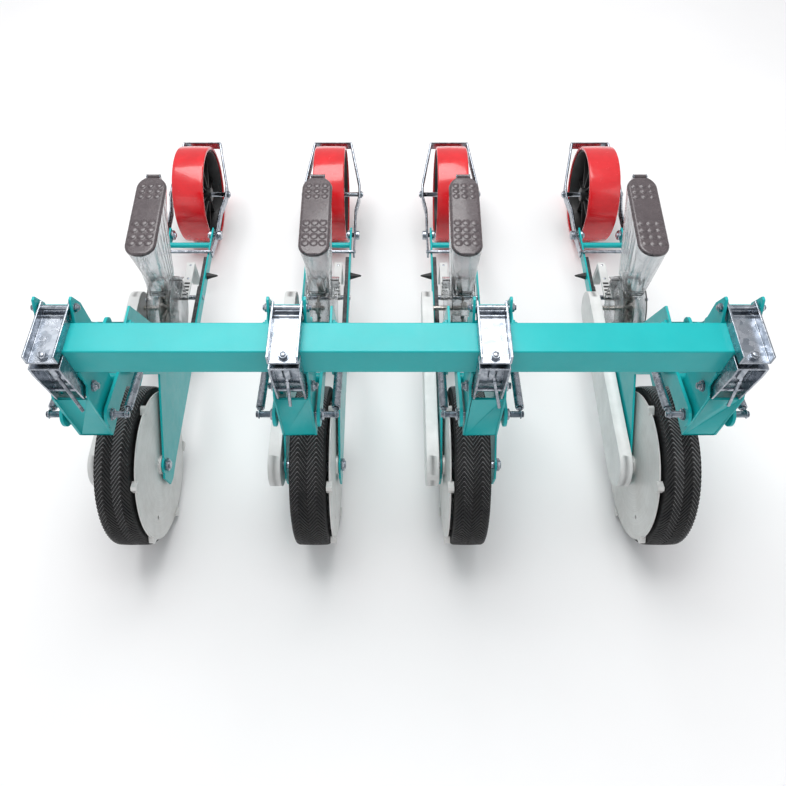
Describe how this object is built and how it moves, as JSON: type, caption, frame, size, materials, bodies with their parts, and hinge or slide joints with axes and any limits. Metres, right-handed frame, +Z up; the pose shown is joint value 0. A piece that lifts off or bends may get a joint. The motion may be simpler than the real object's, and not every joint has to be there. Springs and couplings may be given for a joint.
{
  "type": "corn planter",
  "caption": "Toolbar-mounted corn planter: row units with drive wheel, lugged opener disc, seed hopper and press wheel on parallel links.",
  "frame": {"origin": "middle of the toolbar's front face", "axes": "+X along the toolbar, to the right seen from the front; +Y to the rear, towards the press wheels; +Z up"},
  "size_m": [1.739, 1.603, 0.8969],
  "materials": {
    "teal_paint": "glossy paint",
    "zinc_plate": "bright zinc plating",
    "tread_rubber": "matte ribbed rubber",
    "disc_steel": "satin",
    "press_red": "glossy urethane",
    "clear_plastic": "clear",
    "smoke_plastic": "smoked translucent",
    "case_white": "satin",
    "finger_metal": "bright"
  },
  "bodies": {
    "root": {"toolbar": "teal_paint", "mount_brackets": "teal_paint", "clamp_jaws": "zinc_plate", "bracket_bolts": "zinc_plate"},
    "clamp_r1": {"clamp_screw_r1": "zinc_plate"},
    "links_r1": {"lower_links_r1": "teal_paint", "springs_r1": "zinc_plate"},
    "upper_r1": {"upper_links_r1": "teal_paint"},
    "unit_r1": {"frame_r1": "teal_paint", "chain_case_r1": "case_white", "seed_meter_r1": "clear_plastic", "hopper_r1": "clear_plastic"},
    "wheel_r1": {"gauge_wheel_r1": "tread_rubber"},
    "disc_r1": {"opener_disc_r1": "disc_steel"},
    "rotor_r1": {"finger_rotor_r1": "finger_metal"},
    "lid_r1": {"hopper_lid_r1": "smoke_plastic"},
    "fork_r1": {"press_fork_r1": "zinc_plate"},
    "press_r1": {"press_wheel_r1": "press_red"},
    "clamp_r2": {"clamp_screw_r2": "zinc_plate"},
    "links_r2": {"lower_links_r2": "teal_paint", "springs_r2": "zinc_plate"},
    "upper_r2": {"upper_links_r2": "teal_paint"},
    "unit_r2": {"frame_r2": "teal_paint", "chain_case_r2": "case_white", "seed_meter_r2": "clear_plastic", "hopper_r2": "clear_plastic"},
    "wheel_r2": {"gauge_wheel_r2": "tread_rubber"},
    "disc_r2": {"opener_disc_r2": "disc_steel"},
    "rotor_r2": {"finger_rotor_r2": "finger_metal"},
    "lid_r2": {"hopper_lid_r2": "smoke_plastic"},
    "fork_r2": {"press_fork_r2": "zinc_plate"},
    "press_r2": {"press_wheel_r2": "press_red"},
    "clamp_r3": {"clamp_screw_r3": "zinc_plate"},
    "links_r3": {"lower_links_r3": "teal_paint", "springs_r3": "zinc_plate"},
    "upper_r3": {"upper_links_r3": "teal_paint"},
    "unit_r3": {"frame_r3": "teal_paint", "chain_case_r3": "case_white", "seed_meter_r3": "clear_plastic", "hopper_r3": "clear_plastic"},
    "wheel_r3": {"gauge_wheel_r3": "tread_rubber"},
    "disc_r3": {"opener_disc_r3": "disc_steel"},
    "rotor_r3": {"finger_rotor_r3": "finger_metal"},
    "lid_r3": {"hopper_lid_r3": "smoke_plastic"},
    "fork_r3": {"press_fork_r3": "zinc_plate"},
    "press_r3": {"press_wheel_r3": "press_red"},
    "clamp_r4": {"clamp_screw_r4": "zinc_plate"},
    "links_r4": {"lower_links_r4": "teal_paint", "springs_r4": "zinc_plate"},
    "upper_r4": {"upper_links_r4": "teal_paint"},
    "unit_r4": {"frame_r4": "teal_paint", "chain_case_r4": "case_white", "seed_meter_r4": "clear_plastic", "hopper_r4": "clear_plastic"},
    "wheel_r4": {"gauge_wheel_r4": "tread_rubber"},
    "disc_r4": {"opener_disc_r4": "disc_steel"},
    "rotor_r4": {"finger_rotor_r4": "finger_metal"},
    "lid_r4": {"hopper_lid_r4": "smoke_plastic"},
    "fork_r4": {"press_fork_r4": "zinc_plate"},
    "press_r4": {"press_wheel_r4": "press_red"}
  },
  "joints": [
    {"name": "clamp_turn_r1", "type": "hinge", "parent": "root", "child": "clamp_r1", "pos_m": [-0.75, -0.016, 0], "axis": [0, 0, 1], "range_deg": [-92, 8]},
    {"name": "lift_r1", "type": "hinge", "parent": "root", "child": "links_r1", "pos_m": [-0.75, -0.005, -0.214], "axis": [1, 0, 0], "range_deg": [-18, 0], "deforming": ["springs_r1"]},
    {"name": "level_r1", "type": "hinge", "parent": "links_r1", "child": "unit_r1", "pos_m": [-0.75, 0.19305, -0.24183], "axis": [1, 0, 0], "range_deg": [0, 18]},
    {"name": "upper_swing_r1", "type": "hinge", "parent": "root", "child": "upper_r1", "pos_m": [-0.75, 0.013, -0.114], "axis": [1, 0, 0], "range_deg": [-18, 0]},
    {"name": "gauge_spin_r1", "type": "hinge", "parent": "unit_r1", "child": "wheel_r1", "pos_m": [-0.75, 0.044, -0.587], "axis": [1, 0, 0], "continuous": true},
    {"name": "meter_spin_r1", "type": "hinge", "parent": "unit_r1", "child": "rotor_r1", "pos_m": [-0.75, 0.62, -0.585], "axis": [1, 0, 0], "continuous": true},
    {"name": "disc_spin_r1", "type": "hinge", "parent": "unit_r1", "child": "disc_r1", "pos_m": [-0.75, 0.044, -0.587], "axis": [1, 0, 0], "continuous": true},
    {"name": "lid_hinge_r1", "type": "hinge", "parent": "unit_r1", "child": "lid_r1", "pos_m": [-0.75, 0.858, -0.237], "axis": [1, 0, 0], "range_deg": [-110, 0]},
    {"name": "press_swing_r1", "type": "hinge", "parent": "unit_r1", "child": "fork_r1", "pos_m": [-0.75, 1.01, -0.646], "axis": [1, 0, 0], "range_deg": [-20, 0]},
    {"name": "press_spin_r1", "type": "hinge", "parent": "fork_r1", "child": "press_r1", "pos_m": [-0.75, 1.217, -0.64], "axis": [1, 0, 0], "continuous": true},
    {"name": "clamp_turn_r2", "type": "hinge", "parent": "root", "child": "clamp_r2", "pos_m": [-0.243, -0.016, 0], "axis": [0, 0, 1], "range_deg": [-42, 58]},
    {"name": "lift_r2", "type": "hinge", "parent": "root", "child": "links_r2", "pos_m": [-0.243, -0.005, -0.214], "axis": [1, 0, 0], "range_deg": [-18, 0], "deforming": ["springs_r2"]},
    {"name": "level_r2", "type": "hinge", "parent": "links_r2", "child": "unit_r2", "pos_m": [-0.243, 0.19305, -0.24183], "axis": [1, 0, 0], "range_deg": [0, 18]},
    {"name": "upper_swing_r2", "type": "hinge", "parent": "root", "child": "upper_r2", "pos_m": [-0.243, 0.013, -0.114], "axis": [1, 0, 0], "range_deg": [-18, 0]},
    {"name": "gauge_spin_r2", "type": "hinge", "parent": "unit_r2", "child": "wheel_r2", "pos_m": [-0.243, 0.044, -0.587], "axis": [1, 0, 0], "continuous": true},
    {"name": "meter_spin_r2", "type": "hinge", "parent": "unit_r2", "child": "rotor_r2", "pos_m": [-0.243, 0.62, -0.585], "axis": [1, 0, 0], "continuous": true},
    {"name": "disc_spin_r2", "type": "hinge", "parent": "unit_r2", "child": "disc_r2", "pos_m": [-0.243, 0.044, -0.587], "axis": [1, 0, 0], "continuous": true},
    {"name": "lid_hinge_r2", "type": "hinge", "parent": "unit_r2", "child": "lid_r2", "pos_m": [-0.243, 0.858, -0.237], "axis": [1, 0, 0], "range_deg": [-110, 0]},
    {"name": "press_swing_r2", "type": "hinge", "parent": "unit_r2", "child": "fork_r2", "pos_m": [-0.243, 1.01, -0.646], "axis": [1, 0, 0], "range_deg": [-20, 0]},
    {"name": "press_spin_r2", "type": "hinge", "parent": "fork_r2", "child": "press_r2", "pos_m": [-0.243, 1.217, -0.64], "axis": [1, 0, 0], "continuous": true},
    {"name": "clamp_turn_r3", "type": "hinge", "parent": "root", "child": "clamp_r3", "pos_m": [0.205, -0.016, 0], "axis": [0, 0, 1], "range_deg": [-90, 10]},
    {"name": "lift_r3", "type": "hinge", "parent": "root", "child": "links_r3", "pos_m": [0.205, -0.005, -0.214], "axis": [1, 0, 0], "range_deg": [-18, 0], "deforming": ["springs_r3"]},
    {"name": "level_r3", "type": "hinge", "parent": "links_r3", "child": "unit_r3", "pos_m": [0.205, 0.19305, -0.24183], "axis": [1, 0, 0], "range_deg": [0, 18]},
    {"name": "upper_swing_r3", "type": "hinge", "parent": "root", "child": "upper_r3", "pos_m": [0.205, 0.013, -0.114], "axis": [1, 0, 0], "range_deg": [-18, 0]},
    {"name": "gauge_spin_r3", "type": "hinge", "parent": "unit_r3", "child": "wheel_r3", "pos_m": [0.205, 0.044, -0.587], "axis": [1, 0, 0], "continuous": true},
    {"name": "meter_spin_r3", "type": "hinge", "parent": "unit_r3", "child": "rotor_r3", "pos_m": [0.205, 0.62, -0.585], "axis": [1, 0, 0], "continuous": true},
    {"name": "disc_spin_r3", "type": "hinge", "parent": "unit_r3", "child": "disc_r3", "pos_m": [0.205, 0.044, -0.587], "axis": [1, 0, 0], "continuous": true},
    {"name": "lid_hinge_r3", "type": "hinge", "parent": "unit_r3", "child": "lid_r3", "pos_m": [0.205, 0.858, -0.237], "axis": [1, 0, 0], "range_deg": [-110, 0]},
    {"name": "press_swing_r3", "type": "hinge", "parent": "unit_r3", "child": "fork_r3", "pos_m": [0.205, 1.01, -0.646], "axis": [1, 0, 0], "range_deg": [-20, 0]},
    {"name": "press_spin_r3", "type": "hinge", "parent": "fork_r3", "child": "press_r3", "pos_m": [0.205, 1.217, -0.64], "axis": [1, 0, 0], "continuous": true},
    {"name": "clamp_turn_r4", "type": "hinge", "parent": "root", "child": "clamp_r4", "pos_m": [0.75, -0.016, 0], "axis": [0, 0, 1], "range_deg": [-62, 38]},
    {"name": "lift_r4", "type": "hinge", "parent": "root", "child": "links_r4", "pos_m": [0.75, -0.005, -0.214], "axis": [1, 0, 0], "range_deg": [-18, 0], "deforming": ["springs_r4"]},
    {"name": "level_r4", "type": "hinge", "parent": "links_r4", "child": "unit_r4", "pos_m": [0.75, 0.19305, -0.24183], "axis": [1, 0, 0], "range_deg": [0, 18]},
    {"name": "upper_swing_r4", "type": "hinge", "parent": "root", "child": "upper_r4", "pos_m": [0.75, 0.013, -0.114], "axis": [1, 0, 0], "range_deg": [-18, 0]},
    {"name": "gauge_spin_r4", "type": "hinge", "parent": "unit_r4", "child": "wheel_r4", "pos_m": [0.75, 0.044, -0.587], "axis": [1, 0, 0], "continuous": true},
    {"name": "meter_spin_r4", "type": "hinge", "parent": "unit_r4", "child": "rotor_r4", "pos_m": [0.75, 0.62, -0.585], "axis": [1, 0, 0], "continuous": true},
    {"name": "disc_spin_r4", "type": "hinge", "parent": "unit_r4", "child": "disc_r4", "pos_m": [0.75, 0.044, -0.587], "axis": [1, 0, 0], "continuous": true},
    {"name": "lid_hinge_r4", "type": "hinge", "parent": "unit_r4", "child": "lid_r4", "pos_m": [0.75, 0.858, -0.237], "axis": [1, 0, 0], "range_deg": [-110, 0]},
    {"name": "press_swing_r4", "type": "hinge", "parent": "unit_r4", "child": "fork_r4", "pos_m": [0.75, 1.01, -0.646], "axis": [1, 0, 0], "range_deg": [-20, 0]},
    {"name": "press_spin_r4", "type": "hinge", "parent": "fork_r4", "child": "press_r4", "pos_m": [0.75, 1.217, -0.64], "axis": [1, 0, 0], "continuous": true}
  ],
  "couplings": [
    {"joint": "level_r1", "follows": "lift_r1", "ratio": -1},
    {"joint": "upper_swing_r1", "follows": "lift_r1", "ratio": 1},
    {"joint": "meter_spin_r1", "follows": "gauge_spin_r1", "ratio": 1.25},
    {"joint": "level_r2", "follows": "lift_r2", "ratio": -1},
    {"joint": "upper_swing_r2", "follows": "lift_r2", "ratio": 1},
    {"joint": "meter_spin_r2", "follows": "gauge_spin_r2", "ratio": 1.25},
    {"joint": "level_r3", "follows": "lift_r3", "ratio": -1},
    {"joint": "upper_swing_r3", "follows": "lift_r3", "ratio": 1},
    {"joint": "meter_spin_r3", "follows": "gauge_spin_r3", "ratio": 1.25},
    {"joint": "level_r4", "follows": "lift_r4", "ratio": -1},
    {"joint": "upper_swing_r4", "follows": "lift_r4", "ratio": 1},
    {"joint": "meter_spin_r4", "follows": "gauge_spin_r4", "ratio": 1.25}
  ]
}
